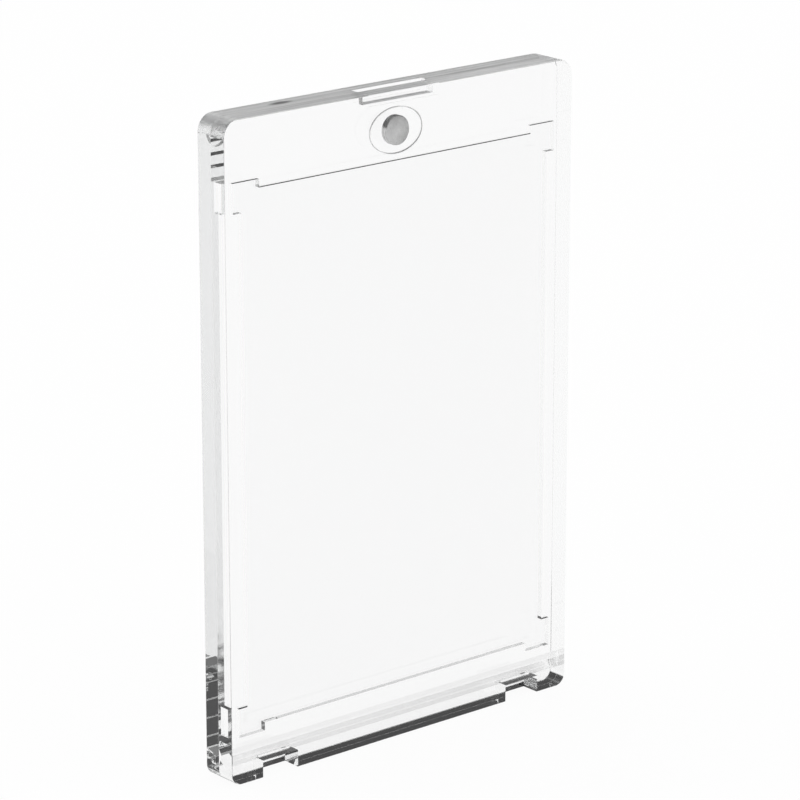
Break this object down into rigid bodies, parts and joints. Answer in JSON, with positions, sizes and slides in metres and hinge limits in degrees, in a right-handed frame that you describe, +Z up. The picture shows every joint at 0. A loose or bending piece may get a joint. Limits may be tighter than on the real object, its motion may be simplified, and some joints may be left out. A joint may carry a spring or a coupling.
{
  "type": "magnetic card holder",
  "caption": "Clear upright case for a standard trading card. The front cover hooks into the back cover along the bottom edge, swings shut and is held at the top by magnets.",
  "frame": {"origin": "middle of the bottom edge, on which the closed holder stands", "axes": "+Z up along the height, +Y through the thickness towards the back, front face at -Y, X across the width"},
  "size_m": [0.0728, 0.0068, 0.1103],
  "materials": {
    "clear_acrylic": "clear, polished, water-white acrylic with fine handling marks",
    "nickel_plate": "satin nickel plating with fine lapping marks"
  },
  "bodies": {
    "base": {"rear_cover": "clear_acrylic", "rear_magnet": "nickel_plate"},
    "lid": {"front_cover": "clear_acrylic", "front_magnet": "nickel_plate"}
  },
  "joints": [
    {"name": "lid_swing", "type": "hinge", "parent": "base", "child": "lid", "pos_m": [0, 0.00005, 0], "axis": [1, 0, 0], "range_deg": [0, 30]}
  ]
}
